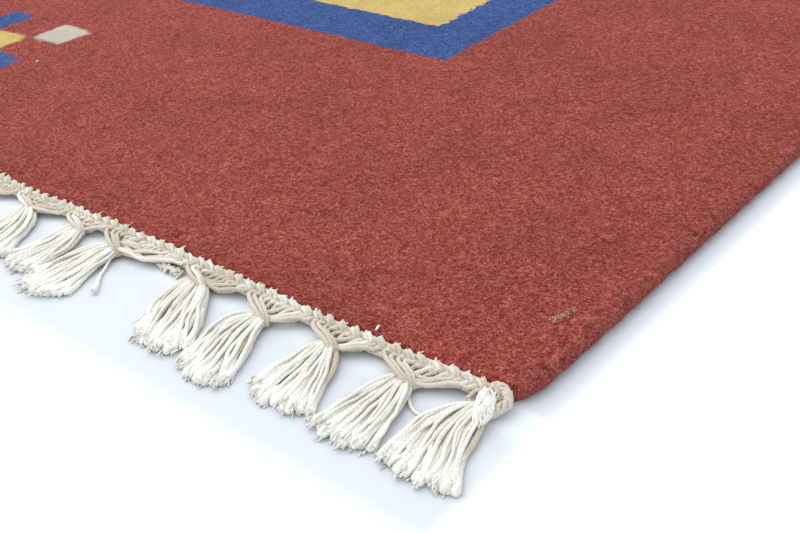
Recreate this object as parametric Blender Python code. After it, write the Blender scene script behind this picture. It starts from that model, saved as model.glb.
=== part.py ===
"""A small flat-woven kilim rug with a plaited and knotted cotton fringe at each end.

Metres, +Z up. X runs across the rug along the weft, Y along the warp. The origin is the middle of
the rug on the surface it lies on. Run with blender --background --python part.py, or from Blender's
text editor.
"""
import math
import random

import bmesh
import bpy
from mathutils import Vector

# ---------------------------------------------------------------- driving dimensions, metres
WEAVE_WIDTH = 0.910          # selvedge to selvedge
WEAVE_LENGTH = 1.500         # first pick of wool to last
WEAVE_THICKNESS = 0.0048     # wool weft packed over cotton warps
SELVEDGE_HEIGHT = 0.0060     # the weft turned round the doubled edge warps
SELVEDGE_RUN = 0.0060        # how far in from the edge the roll reaches
FOOT_INSET = 0.0016          # the roll's underside curls up this far in from the edge
ROLL_START_DEG = -38.0       # where the roll leaves the floor, below level
ROLL_SWEEP_DEG = 128.0       # from there over the edge to the top of the roll
FACE_SETBACK = 0.0020        # the level face starts this far in from the roll
CORNER_LENGTH = 0.016        # the selvedge draws in over this last stretch
CORNER_INSET = 0.0042
EDGE_WANDER = 0.0008         # how far a selvedge strays from straight
TOP_WANDER = 0.00035         # how far the face rises and dips

PART_GAP = 0.0003            # between the last pick and the plait
PLAIT_WIDTH = 0.0078
PLAIT_THICKNESS = 0.0043
PLAIT_LIFT = 0.0004          # the plait is held just clear of the floor by the weave
PLAIT_END_INSET = 0.0050     # it stops this short of the selvedge
ROOT_OUT = 0.0050            # a tassel's root, inside the plait
ROOT_SHIFT = 0.0011          # and a little to the left of its knot

KNOT_PITCH = 0.0327
LAST_KNOT_INSET = 0.0160     # the last knot's distance from the far selvedge
KNOT_OUT = 0.0102            # knot centre beyond the last pick
KNOT_WIDTH = 0.0062
KNOT_HEIGHT = 0.0056
BUNDLE_RUN = 0.0255          # the warps leave the plait this far along from their knot
BUNDLE_WIDTH = 0.0042
LEAST_STEP = 0.0020          # the plait's least bare stretch between a knot and the next bundle
TASSEL_OUT = 0.0465          # tip beyond the last pick
TASSEL_HALF_WIDTH = 0.0125   # at the tip
TASSEL_LEAN = 0.0060         # the tip lies this far to the right of its knot
TASSEL_HEIGHT = 0.0034
TASSEL_GAP = 0.0009          # between the tips of neighbours

# how far a knot or a tassel strays from its even place, less and more
KNOT_STRAY = (-0.0035, 0.0035)
KNOT_OUT_STRAY = (-0.0012, 0.0012)
TIP_STRAY = (-0.0028, 0.0028)
TIP_HALF_STRAY = (-0.0018, 0.0012)
TIP_OUT_STRAY = (-0.0035, 0.0030)

FIELD_SECTIONS = 25
CORNER_SECTIONS = 4
FACE_POINTS = 8
ROLL_POINTS = 5

# Knots counted from the right-hand corner, seen with the fringe towards you. Millimetres:
# along the edge from the corner, out from the last pick, then the tip's middle along the edge,
# half its width, and how far out it reaches.
TASSEL_COLUMNS = ("knot_in", "knot_out", "tip_in", "tip_half", "tip_out")
CORNER_TASSELS = (
    (12.5, 9.0, 6.1, 13.0, 45.0),
    (39.4, 10.8, 36.5, 13.0, 47.0),
    (71.2, 10.7, 65.6, 12.0, 44.5),
    (102.0, 11.6, 97.0, 13.0, 49.5),
    (136.1, 9.3, 126.6, 14.5, 46.5),
    (183.3, 10.4, 182.0, 12.0, 48.5),
    (208.8, 8.6, 205.5, 10.0, 41.0),
    (242.0, 9.0, 235.0, 12.5, 45.0),
)
MM = 0.001

WOOL_RED = (0.33, 0.075, 0.058)
COTTON_CREAM = (0.62, 0.57, 0.48)


# ---------------------------------------------------------------- helpers
def clear_scene():
    for obj in list(bpy.data.objects):
        bpy.data.objects.remove(obj, do_unlink=True)


def make_collection(name, parent):
    collection = bpy.data.collections.new(name)
    parent.children.link(collection)
    return collection


def make_material(name, colour, roughness):
    material = bpy.data.materials.new(name)
    material.use_nodes = True
    shader = material.node_tree.nodes["Principled BSDF"]
    shader.inputs["Base Color"].default_value = (*colour, 1.0)
    shader.inputs["Roughness"].default_value = roughness
    shader.inputs["Metallic"].default_value = 0.0
    return material


def loft(name, rings, collection):
    """A closed solid through rings that all have the same number of points."""
    mesh = bmesh.new()
    loops = []
    for ring in rings:
        loops.append([mesh.verts.new(point) for point in ring])
    count = len(loops[0])
    for near, far in zip(loops, loops[1:]):
        for i in range(count):
            j = (i + 1) % count
            mesh.faces.new((near[i], near[j], far[j], far[i]))
    mesh.faces.new(reversed(loops[0]))
    mesh.faces.new(loops[-1])
    bmesh.ops.recalc_face_normals(mesh, faces=mesh.faces)
    data = bpy.data.meshes.new(name)
    mesh.to_mesh(data)
    mesh.free()
    obj = bpy.data.objects.new(name, data)
    collection.objects.link(obj)
    return obj


# ---------------------------------------------------------------- the woven field
def edge_offset(y, side):
    """How far the selvedge on one side lies inside the straight line, at y."""
    stray = math.sin(9.0 * y + 1.3 * side) + 0.6 * math.sin(23.0 * y + 0.7 + side)
    offset = EDGE_WANDER * (0.8 + 0.5 * stray)
    to_end = WEAVE_LENGTH / 2 - abs(y)
    if to_end < CORNER_LENGTH:
        reach = 1.0 - to_end / CORNER_LENGTH
        offset += CORNER_INSET * (1.0 - math.sqrt(1.0 - reach * reach))
    return offset


def face_height(x, y):
    """The top of the weave: level, with the slight rise and dip of a rug that lies loose."""
    swell = math.sin(7.0 * x + 2.0) * math.sin(5.2 * y + 0.6) + 0.5 * math.sin(13.0 * x - 11.0 * y)
    return WEAVE_THICKNESS + TOP_WANDER * swell


def field_ring(y):
    """One cross-section of the rug: flat underneath, a roll at each edge, the face on top."""
    left = -WEAVE_WIDTH / 2 + edge_offset(y, -1)
    right = WEAVE_WIDTH / 2 - edge_offset(y, 1)
    ring = [Vector((left + FOOT_INSET, y, 0.0)), Vector((right - FOOT_INSET, y, 0.0))]
    half_height = SELVEDGE_HEIGHT / 2
    centre_in = SELVEDGE_RUN / 2
    for i in range(ROLL_POINTS):
        angle = math.radians(ROLL_START_DEG + ROLL_SWEEP_DEG * i / (ROLL_POINTS - 1))
        ring.append(Vector((right - centre_in + centre_in * math.cos(angle), y,
                            half_height + half_height * math.sin(angle))))
    inner_left = left + SELVEDGE_RUN + FACE_SETBACK
    inner_right = right - SELVEDGE_RUN - FACE_SETBACK
    for i in range(FACE_POINTS):
        x = inner_right + (inner_left - inner_right) * i / (FACE_POINTS - 1)
        ring.append(Vector((x, y, face_height(x, y))))
    for i in range(ROLL_POINTS):
        angle = math.radians(90.0 + ROLL_SWEEP_DEG * i / (ROLL_POINTS - 1))
        ring.append(Vector((left + centre_in + centre_in * math.cos(angle), y,
                            half_height + half_height * math.sin(angle))))
    return ring


def build_field(material, collection):
    half = WEAVE_LENGTH / 2
    rows = [half - CORNER_LENGTH * i / CORNER_SECTIONS for i in range(CORNER_SECTIONS)]
    inner = half - CORNER_LENGTH
    middle = [inner - 2 * inner * i / (FIELD_SECTIONS - 1) for i in range(FIELD_SECTIONS)]
    stations = rows + middle + [-y for y in reversed(rows)]
    field = loft("kilim_field", [field_ring(y) for y in stations], collection)
    field.data.materials.append(material)
    return field


# ---------------------------------------------------------------- the fringe
def tassel_rows(seed, known):
    """One row for each knot, in metres: the known ones, then the rest at an uneven pitch."""
    rows = [dict(zip(TASSEL_COLUMNS, (value * MM for value in row))) for row in known]
    rng = random.Random(seed)
    start = rows[-1]["knot_in"]
    span = WEAVE_WIDTH - LAST_KNOT_INSET - start
    count = round(span / KNOT_PITCH)
    for i in range(1, count + 1):
        knot_in = start + span * i / count
        if i < count:
            knot_in += rng.uniform(*KNOT_STRAY)
        rows.append({
            "knot_in": knot_in,
            "knot_out": KNOT_OUT + rng.uniform(*KNOT_OUT_STRAY),
            "tip_in": knot_in - TASSEL_LEAN + rng.uniform(*TIP_STRAY),
            "tip_half": TASSEL_HALF_WIDTH + rng.uniform(*TIP_HALF_STRAY),
            "tip_out": TASSEL_OUT + rng.uniform(*TIP_OUT_STRAY),
        })
    for right, left in zip(rows, rows[1:]):
        reach = left["tip_in"] - right["tip_in"] - TASSEL_GAP
        excess = right["tip_half"] + left["tip_half"] - reach
        if excess > 0.0:
            right["tip_half"] -= excess / 2
            left["tip_half"] -= excess / 2
    return rows


def edge_point(along, out, z):
    """A point by its distance from the right-hand corner and out from the last pick."""
    return Vector((WEAVE_WIDTH / 2 - along, -WEAVE_LENGTH / 2 - out, z))


def flat_ring(centre, across, half_width, bottom, top):
    """A six-sided section, flat underneath: two points below, one each side, two on top."""
    shape = ((-0.86, 0.0), (0.86, 0.0), (1.0, 0.42), (0.62, 1.0), (-0.62, 1.0), (-1.0, 0.42))
    ring = []
    for side, rise in shape:
        point = centre + across * (half_width * side)
        ring.append(Vector((point.x, point.y, bottom + (top - bottom) * rise)))
    return ring


def plait_outline(rows):
    """Distance along and outer edge of the plait: it slants out to each knot, then steps back."""
    outline = [(PLAIT_END_INSET, PLAIT_WIDTH)]
    for row in rows:
        knot = row["knot_in"]
        start = max(knot - BUNDLE_RUN, outline[-1][0] + LEAST_STEP)
        outline += [(start, PLAIT_WIDTH), (knot, row["knot_out"] + BUNDLE_WIDTH / 2),
                    (knot + KNOT_WIDTH / 2, PLAIT_WIDTH)]
    return outline + [(WEAVE_WIDTH - PLAIT_END_INSET, PLAIT_WIDTH)]


def build_plait(name, rows, collection):
    """The comb's back: the oblique plait along the last pick, with the bundles that feed the knots."""
    out_way = edge_point(0.0, 1.0, 0.0) - edge_point(0.0, 0.0, 0.0)
    rings = []
    for along, outer in plait_outline(rows):
        centre = edge_point(along, (PART_GAP + outer) / 2, 0.0)
        half_width = (outer - PART_GAP) / 2
        rings.append(flat_ring(centre, out_way, half_width, PLAIT_LIFT, PLAIT_LIFT + PLAIT_THICKNESS))
    return loft(name, rings, collection)


def build_tassel(name, row, collection):
    """From the plait's outer edge through the knot to the fanned tips."""
    knot = edge_point(row["knot_in"], row["knot_out"], 0.0)
    tip = edge_point(row["tip_in"], row["tip_out"], 0.0)
    root = edge_point(row["knot_in"] + ROOT_SHIFT, ROOT_OUT, 0.0)
    run = tip - knot
    neck = KNOT_WIDTH / 2
    spread = row["tip_half"]
    # share of the way from knot to tip, half width, top: the neck, then the strands spread
    table = (
        (0.00, neck, KNOT_HEIGHT),
        (0.16, neck * 0.9, KNOT_HEIGHT * 0.8),
        (0.90, spread, TASSEL_HEIGHT),
        (1.00, spread * 0.82, TASSEL_HEIGHT * 0.7),
    )
    across = run.normalized().cross(Vector((0.0, 0.0, 1.0)))
    rings = [flat_ring(root, across, neck * 0.8, PLAIT_LIFT * 2, PLAIT_THICKNESS * 0.9)]
    for t, half_width, top in table:
        rings.append(flat_ring(knot + run * t, across, half_width, 0.0, top))
    return loft(name, rings, collection)


def build_fringe(name, seed, known, turn, material, collection, tools):
    """One comb: the plait, and a knot and a tassel for each group of warps."""
    rows = tassel_rows(seed, known)
    fringe = build_plait(name, rows, collection)
    fringe.data.materials.append(material)
    fringe.rotation_euler = (0.0, 0.0, turn)
    teeth = make_collection(name + "_teeth", tools)
    for i, row in enumerate(rows):
        tassel = build_tassel(f"{name}_tassel_{i}", row, teeth)
        tassel.rotation_euler = (0.0, 0.0, turn)
        tassel.hide_render = True
        tassel.display_type = "WIRE"
    union = fringe.modifiers.new("union", "BOOLEAN")
    union.operation = "UNION"
    union.operand_type = "COLLECTION"
    union.collection = teeth
    union.solver = "EXACT"
    return fringe


def main():
    clear_scene()
    root = bpy.context.scene.collection
    rug = make_collection("kilim_rug", root)
    tools = make_collection("fringe_tools", root)
    wool = make_material("red_wool", WOOL_RED, 0.95)
    cotton = make_material("cream_cotton", COTTON_CREAM, 0.9)
    build_field(wool, rug)
    build_fringe("fringe_front", 11, CORNER_TASSELS, 0.0, cotton, rug, tools)
    build_fringe("fringe_back", 29, CORNER_TASSELS[:1], math.pi, cotton, rug, tools)


main()
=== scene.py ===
"""Looks of a flat-woven wool kilim: nap, selvedges, plaited end finish and knotted cotton tassels."""
import math
import random

import bpy
import numpy as np
from mathutils import Matrix, Vector


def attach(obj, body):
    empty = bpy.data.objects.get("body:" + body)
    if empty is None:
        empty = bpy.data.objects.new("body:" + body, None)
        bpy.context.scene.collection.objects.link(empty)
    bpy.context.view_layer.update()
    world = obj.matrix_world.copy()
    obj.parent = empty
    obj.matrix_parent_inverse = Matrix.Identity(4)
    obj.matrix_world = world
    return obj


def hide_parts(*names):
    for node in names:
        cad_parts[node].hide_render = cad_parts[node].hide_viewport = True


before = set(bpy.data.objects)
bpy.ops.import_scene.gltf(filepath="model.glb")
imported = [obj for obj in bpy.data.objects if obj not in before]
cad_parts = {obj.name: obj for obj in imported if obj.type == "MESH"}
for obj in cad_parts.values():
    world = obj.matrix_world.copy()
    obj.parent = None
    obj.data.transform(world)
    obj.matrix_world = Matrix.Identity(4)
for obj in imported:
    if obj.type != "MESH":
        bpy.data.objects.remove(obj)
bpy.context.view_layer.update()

MM = 0.001
TAU = 2.0 * math.pi

# The woven field, as in the part.
WEAVE_WIDTH = 0.910
WEAVE_LENGTH = 1.500
WEAVE_THICKNESS = 0.0048
CORNER_LENGTH = 0.016
CORNER_INSET = 0.0042
EDGE_WANDER = 0.0008
TOP_WANDER = 0.00035
HALF_WIDTH = WEAVE_WIDTH / 2
HALF_LENGTH = WEAVE_LENGTH / 2

# Relief of the weave.
WARP_COUNT = 114
WEAVE_ROWS = 160
RIB_HEIGHT = 0.00030
LUMP_HEIGHT = 0.00022
SHOULDER_RISE = 0.00115
SHOULDER_RUN = 0.0075
END_ROUND = 0.0007
END_ROUND_RUN = 0.0016
TUCK = 0.0026

# Selvedge rolls.
ROLL_HALF_WIDTH = 0.0036
ROLL_HALF_HEIGHT = 0.00296
ROLL_SECTIONS = 640
ROLL_SIDES = 16
ROLL_TAPER = 0.0035
WRAP_PITCH = 0.0135
WRAP_HEIGHT = 0.030
WRAP_GROOVE = 0.078
ROLL_ROUGH = 0.035

# The fringe, in metres.
KNOT_PITCH = 0.0327
LAST_KNOT_INSET = 0.0160
KNOT_OUT = 0.0102
TASSEL_OUT = 0.0465
TASSEL_HALF_WIDTH = 0.0125
TASSEL_LEAN = 0.0060
TASSEL_GAP = 0.0009
KNOT_STRAY = (-0.0035, 0.0035)
KNOT_OUT_STRAY = (-0.0012, 0.0012)
TIP_STRAY = (-0.0028, 0.0028)
TIP_HALF_STRAY = (-0.0018, 0.0012)
TIP_OUT_STRAY = (-0.0035, 0.0030)
TASSEL_COLUMNS = ("knot_in", "knot_out", "tip_in", "tip_half", "tip_out")

# The tassels next to the front right corner, in millimetres in from the edge and out past the last
# pick, then how early each fans out, how far it bows sideways and how far its sides fall short.
CORNER_TASSELS = (
    (12.5, 9.0, 9.3, 14.9, 45.5),
    (39.4, 10.8, 38.5, 13.6, 46.0),
    (71.2, 10.7, 65.0, 14.6, 45.0),
    (102.0, 11.6, 96.0, 12.4, 49.5),
    (136.1, 9.3, 122.4, 14.6, 47.0),
    (183.3, 10.4, 186.2, 12.8, 48.5),
    (208.8, 8.6, 207.5, 10.4, 42.5),
    (242.0, 9.0, 230.0, 14.0, 45.5),
)
CORNER_FANS = (0.38, 0.52, 0.48, 0.22, 0.14, 0.25, 0.30, 0.40)
CORNER_BOWS = (4.6, 0.0, 0.0, 4.5, 0.0, 3.5, -3.0, -6.0)
CORNER_DROPS = (3.0, 4.0, 4.5, 4.0, 8.5, 5.5, 4.0, 5.0)

# How far the last pick strays outward, in millimetres, at each distance in from the edge.
END_WANDER = (
    (0.0, 0.0), (12.0, 0.2), (20.0, -0.4), (28.0, 0.3), (40.0, 1.0), (60.0, 1.3), (75.0, 1.5),
    (95.0, 1.0), (110.0, 0.5), (130.0, 0.0), (150.0, 0.0), (165.0, -0.8), (180.0, 0.0),
    (195.0, -0.9), (210.0, 0.4), (225.0, 0.1), (235.0, 0.9), (245.0, 1.8), (257.0, 1.1),
    (285.0, 0.2), (340.0, -0.5), (420.0, 0.6), (510.0, -0.4), (600.0, 0.5), (700.0, -0.6),
    (800.0, 0.4), (880.0, 0.0), (910.0, 0.0),
)
END_WANDER_REACH = 11.0
FRONT_SEED = 11
BACK_SEED = 29

# Lowest a yarn's surface lies.
FLOOR_CLEAR = 0.00003

# Yarns, in millimetres.
FIRST_WARP_IN = 8.2
LAST_WARP_IN = 6.0
BEAD_PITCH = 5.6
PLAIT_YARN = 0.90
PLAIT_SECTIONS = 20
CROSS_FROM = 3.8
CROSS_TO = 12.4
BUNDLE_TWIST = 17.0
BUNDLE_YARN = 0.76
BUNDLE_EDGE = 5.9
FILLER_STEPS = 230
FILLER_YARNS = ((0.9, 3.1, 1.5), (2.7, 2.9, 1.4), (4.3, 2.5, 1.3))
WISP_SHARE = 0.80
NIP_SHARE = 0.12
FRAYS = 4
STRAND_FLAT = 0.76
STRAND_LOW = 0.80
STRAND_STEPS = (0.0, 0.04, 0.10, 0.18, 0.28, 0.39, 0.50, 0.61, 0.72, 0.82, 0.89, 0.945, 0.98, 1.0)
STRAND_SWELL = (
    (0.0, 0.9), (0.1, 1.0), (0.66, 1.0), (0.82, 1.20), (0.92, 1.50), (0.98, 1.50), (1.0, 0.95),
)
SCALLOP_BELLY = (0.0, 1.6, 0.2, 0.6, 0.6, 2.4)

# The lower and the upper strands of a tassel, heights and sizes in millimetres. The lower strands'
# deeper beige tone is painted shade in the gaps under the upper strands.
LOWER_STRANDS = {
    "more": 3, "stray": 0.05, "start": 0.2, "rest": 1.10, "high": 2.0, "arch": 0.10, "sink": 0.0,
    "tone": 0.66, "whiten": 0.75, "yarn": 1.10, "sides": 5,
}
UPPER_STRANDS = {
    "more": 0, "stray": 0.10, "start": 1.0, "rest": 1.80, "high": 3.6, "arch": 0.50, "sink": 0.55,
    "tone": 0.38, "whiten": 0.92, "yarn": 0.66, "sides": 6,
}

# Length of one turn of the plies, in metres.
PLY_PITCH = 0.0034

# Loose cotton at the front right corner, in millimetres.
BALL_CENTRE = (9.0, 9.9, 4.4)
BALL_AXIS = (-0.40, 0.90, -0.12)
BALL_TUFTS = 46
BALL_CURLS = 100
CORNER_ROPE = (
    (12.0, 1.6, 4.4), (10.0, 0.8, 4.6), (8.0, 0.8, 4.6), (6.3, 1.8, 4.4), (5.1, 3.8, 3.9),
    (4.9, 6.2, 3.4), (5.6, 8.6, 2.8), (7.2, 10.8, 2.0),
)
ROPE_SECTIONS = 44
ROPE_TURNS = 3.6
ROPE_PLIES = ((0.0, 0.84), (TAU / 4, 0.70), (TAU / 2, 0.78), (3 * TAU / 4, 0.66))
LOOSE_LOOP = (
    (37.0, 12.0, 3.2), (35.0, 13.8, 2.4), (32.6, 16.4, 1.4), (29.6, 18.9, 0.8),
    (26.2, 20.2, 0.6), (22.6, 20.1, 0.6), (19.2, 19.4, 0.7), (16.0, 18.6, 0.8),
)
THIN_STRAY = (
    (211.6, 12.5, 3.4), (213.6, 14.6, 1.6), (215.2, 16.6, 0.5), (215.4, 21.5, 0.4),
    (215.0, 26.5, 0.4), (214.8, 31.0, 0.4),
)
STRAND_APART = (
    (179.5, 14.5, 2.8), (177.6, 18.0, 1.8), (175.6, 21.6, 1.1), (173.6, 25.0, 0.9),
    (169.6, 29.6, 0.9), (166.2, 33.4, 0.9),
)
GAP_ENDS = 34
LINT_SPECKS = 46

# Single specks: in from the edge, in from the last pick, turn, half length, girth and tone.
SINGLE_SPECKS = (
    (61.0, 2.4, 0.25, 1.4, 0.50, 0.15),
    (40.4, 0.0, -0.20, 0.8, 0.30, 0.7),
    (19.8, 2.2, 0.10, 0.7, 0.24, 1.0),
    (377.0, 88.0, 0.30, 1.2, 0.62, 1.0),
)

# Loose wool hairs: length, lift and radius, in metres.
HAIR_COUNT = 10500
HAIR_INSET = 0.003
NAP_HAIR = ((0.0016, 0.0046), 0.00060, 0.000080)
SELVEDGE_HAIR = ((0.0012, 0.0038), 0.0006, 0.000062)

# Pattern.
BLUE_HALF_WIDTH = 0.2700
BLUE_HALF_LENGTH = 0.5555
PANEL_HALF_WIDTH = 0.2375
PANEL_HALF_LENGTH = 0.5195
ORNAMENT_FROM_END = 0.078
CAP_HALF = 0.0100
BODY_HALF = 0.0375
ARM_HALF = 0.0660
SIDE_CELL_FROM = 0.0405
ARM_HALF_LENGTH = 0.0085
BODY_FROM = 0.0100
BODY_TO = 0.0300
CAP_FROM = 0.0320
CAP_TO = 0.0545
CELL_SOFT = 0.0021

# Colours, linear.
RED = (0.241, 0.0320, 0.0187)
BLUE = (0.021, 0.065, 0.208)
YELLOW = (0.565, 0.405, 0.132)
OFF_WHITE = (0.510, 0.435, 0.362)
COTTON = (0.792, 0.738, 0.640)
COTTON_FLUFF = (0.872, 0.838, 0.762)
COTTON_BEIGE = (0.596, 0.503, 0.398)
EDGE_HAZE = (0.480, 0.360, 0.400)
# Floor: painted shade round the rug, a paler painted shade beside the plaits, then the plain floor.
FLOOR_PAINTED_SHADE = (0.664, 0.675, 0.702)
FLOOR_PALER_SHADE = (0.790, 0.805, 0.830)
FLOOR_FAR = (0.900, 0.900, 0.900)
WHITE = (1.0, 1.0, 1.0)
WOOL_SHEEN = (0.9, 0.7, 0.68)
COTTON_SHEEN = (1.0, 0.98, 0.94)

# Nap: painted highlight that makes a loose fibre paler, painted shade that makes a pit deeper than the
# ground, and the sets of curly fibres.
GLINT_GAIN = (1.75, 1.75, 1.75)
GLINT_LIFT = (0.140, 0.110, 0.100)
PIT_SHADE_GAIN = (0.62, 0.36, 0.40)
FIBRE_SETS = ((450.0, 0.13, 0.036), (640.0, 0.59, 0.048), (850.0, 0.91, 0.060))
NAP_MIDDLE = 0.70
NAP_SPREAD = 0.20
SELVEDGE_HAZE = 0.036

# Light that passes into the cotton.
COTTON_GLOW = 0.25
GLOW_DEPTH = 0.0005
GLOW_TINT = (1.0, 0.95, 0.85)

# Floor, light and camera.
FLOOR_HALF = 6.0
SKY_COLOUR = (0.84, 0.92, 1.0, 1.0)
SKY_STRENGTH = 1.10
KEY_PLACE = Vector((-0.95, -0.70, 1.45))
KEY_AIM = Vector((0.45, -0.75, 0.0))
KEY_SIZE = 3.2
KEY_POWER = 34.0
KEY_COLOUR = (1.0, 0.965, 0.92)
CAMERA_RIGHT = Vector((0.76115, 0.64341, -0.08186))
CAMERA_UP = Vector((-0.28615, 0.44638, 0.84786))
CAMERA_PLACE = Vector((0.6090, -0.9640, 0.2148))
CAMERA_LENS = 51.4


# ---------------------------------------------------------------- shader graph


class Term:
    """A socket in a node tree that can be used in sums."""

    def __init__(self, graph, socket):
        self.graph = graph
        self.socket = socket

    def __add__(self, other):
        return self.graph.math("ADD", self, other)

    def __sub__(self, other):
        return self.graph.math("SUBTRACT", self, other)

    def __rsub__(self, other):
        return self.graph.math("SUBTRACT", other, self)

    def __mul__(self, other):
        return self.graph.math("MULTIPLY", self, other)

    def __abs__(self):
        return self.graph.math("ABSOLUTE", self)


class Graph:
    """One material's node tree."""

    def __init__(self, name):
        self.material = bpy.data.materials.new(name)
        self.material.use_nodes = True
        self.tree = self.material.node_tree
        self.tree.nodes.clear()

    def node(self, kind, **settings):
        made = self.tree.nodes.new(kind)
        for key, value in settings.items():
            setattr(made, key, value)
        return made

    def feed(self, socket, value):
        if isinstance(value, Term):
            self.tree.links.new(value.socket, socket)
        elif value is not None:
            socket.default_value = value

    def fill(self, made, values):
        for key, value in values.items():
            self.feed(made.inputs[key], value)
        return made

    def math(self, operation, first, second=None):
        made = self.node("ShaderNodeMath", operation=operation)
        self.feed(made.inputs[0], first)
        self.feed(made.inputs[1], second)
        return Term(self, made.outputs[0])

    def larger(self, first, second):
        return self.math("MAXIMUM", first, second)

    def vector(self, operation, first, second):
        made = self.node("ShaderNodeVectorMath", operation=operation)
        self.feed(made.inputs[0], first)
        self.feed(made.inputs[1], second)
        return Term(self, made.outputs[0])

    def ramp(self, value, low, high, out_low=0.0, out_high=1.0, kind="SMOOTHSTEP"):
        made = self.node("ShaderNodeMapRange", interpolation_type=kind)
        for socket, entry in zip(made.inputs, (value, low, high, out_low, out_high)):
            self.feed(socket, entry)
        return Term(self, made.outputs[0])

    def noise(self, place, scale, detail=2.0, roughness=0.5, distortion=0.0):
        made = self.fill(self.node("ShaderNodeTexNoise"), {
            "Vector": place,
            "Scale": scale,
            "Detail": detail,
            "Roughness": roughness,
            "Distortion": distortion,
        })
        return Term(self, made.outputs["Fac"])

    def cells(self, place, scale):
        """A random value that is the same all over each cell."""
        made = self.fill(self.node("ShaderNodeTexVoronoi"), {"Vector": place, "Scale": scale})
        parts = self.node("ShaderNodeSeparateColor")
        self.tree.links.new(made.outputs["Color"], parts.inputs[0])
        return Term(self, parts.outputs[0])

    def split(self, place):
        made = self.node("ShaderNodeSeparateXYZ")
        self.feed(made.inputs[0], place)
        return [Term(self, socket) for socket in made.outputs]

    def join(self, x, y, z):
        made = self.node("ShaderNodeCombineXYZ")
        for socket, value in zip(made.inputs, (x, y, z)):
            self.feed(socket, value)
        return Term(self, made.outputs[0])

    def mix(self, share, first, second, blend="MIX"):
        made = self.node("ShaderNodeMix", data_type="RGBA", blend_type=blend)
        self.feed(made.inputs["Factor"], share)
        for socket, value in zip((made.inputs[6], made.inputs[7]), (first, second)):
            self.feed(socket, (*value, 1.0) if isinstance(value, tuple) else value)
        return Term(self, made.outputs[2])

    def toned(self, colour, level, blend="MULTIPLY"):
        """The colour multiplied by a grey level, or with it added."""
        return self.mix(1.0, colour, self.join(level, level, level), blend)

    def object_place(self):
        return Term(self, self.node("ShaderNodeTexCoord").outputs["Object"])

    def attribute(self, name, output):
        return Term(self, self.node("ShaderNodeAttribute", attribute_name=name).outputs[output])

    def bump(self, height, distance, strength):
        made = self.fill(self.node("ShaderNodeBump"), {
            "Height": height,
            "Distance": distance,
            "Strength": strength,
        })
        return Term(self, made.outputs[0])

    def finish(self, colour, normal, roughness, specular, sheen=0.0, sheen_tint=WHITE, glow=0.0):
        """End the tree in one surface."""
        surface = self.fill(self.node("ShaderNodeBsdfPrincipled"), {
            "Base Color": colour,
            "Normal": normal,
            "Roughness": roughness,
            "Specular IOR Level": specular,
            "Sheen Weight": sheen,
            "Sheen Roughness": 0.5,
            "Sheen Tint": (*sheen_tint, 1.0),
            "Subsurface Weight": glow,
            "Subsurface Radius": GLOW_TINT,
            "Subsurface Scale": GLOW_DEPTH,
        })
        output = self.node("ShaderNodeOutputMaterial")
        self.tree.links.new(surface.outputs[0], output.inputs["Surface"])
        return self.material


def woven_design(graph, place):
    """Colour of the wool at a place on the rug."""
    x, y, _ = graph.split(place)
    stray = graph.noise(place, 900.0, 2.0) - 0.5
    tooth = graph.noise(place, 330.0, 2.0, 0.6) - 0.5
    ripple = graph.noise(place, 120.0, 1.0) - 0.5
    across = abs(x) + tooth * 0.0085 + stray * 0.0030
    along = abs(y) + ripple * 0.0020 + stray * 0.0024

    def under(value, limit, soft=0.0006):
        return graph.ramp(value, limit - soft, limit + soft, 1.0, 0.0)

    soft_across = abs(x) + tooth * 0.0030 + ripple * 0.0020 + stray * 0.0030
    frame_mask = under(soft_across, BLUE_HALF_WIDTH, 0.0012) * under(along, BLUE_HALF_LENGTH, 0.0010)
    panel_mask = under(across, PANEL_HALF_WIDTH) * under(along, PANEL_HALF_LENGTH)
    colour = graph.mix(frame_mask, RED, BLUE)
    colour = graph.mix(panel_mask, colour, YELLOW)
    cell_across = soft_across + ripple * 0.0050
    cell_along = along + ripple * 0.0060
    narrow = under(cell_across, CAP_HALF, CELL_SOFT)
    half = under(cell_across, BODY_HALF, CELL_SOFT)
    inner = under(cell_across, SIDE_CELL_FROM, CELL_SOFT)
    wide = under(cell_across, ARM_HALF, CELL_SOFT)
    rise = abs(cell_along - (HALF_LENGTH - ORNAMENT_FROM_END))
    arm = under(rise, ARM_HALF_LENGTH, CELL_SOFT)
    body = under(rise, BODY_TO, CELL_SOFT) * (1.0 - under(rise, BODY_FROM, CELL_SOFT))
    cap = under(rise, CAP_TO, CELL_SOFT) * (1.0 - under(rise, CAP_FROM, CELL_SOFT))
    colour = graph.mix(arm * wide, colour, BLUE)
    colour = graph.mix(body * half, colour, YELLOW)
    colour = graph.mix(cap * narrow, colour, BLUE)
    return graph.mix(cap * wide * (1.0 - inner), colour, OFF_WHITE)


def moved_by(graph, place, shift):
    return graph.vector("ADD", place, (shift, shift * 1.7, shift * 0.6))


def felted(graph, place, cell_scale, shift, along_scale, across_scale):
    """Short straight fibres lying every way, one way in each small patch."""
    moved = moved_by(graph, place, shift)
    turn = graph.cells(moved, cell_scale) * TAU
    spin = graph.node("ShaderNodeVectorRotate", rotation_type="Z_AXIS")
    graph.fill(spin, {"Vector": moved, "Angle": turn})
    stretched = graph.vector(
        "MULTIPLY", Term(graph, spin.outputs[0]), (across_scale, along_scale, across_scale)
    )
    return graph.noise(stretched, 1.0, 1.5, 0.5, 0.6)


def curls(graph, place, scale, shift, width):
    """Thin curly lines broken into short lengths: loose fibres lying on the nap."""
    moved = moved_by(graph, place, shift)
    line = abs(graph.noise(moved, scale, 1.0, 0.5, 0.5) - 0.5)
    lengths = graph.noise(graph.vector("ADD", moved, (0.37, 0.11, 0.23)), scale * 0.8, 1.0)
    return graph.ramp(line, 0.0, width, 1.0, 0.0) * graph.ramp(lengths, 0.47, 0.57)


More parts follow.
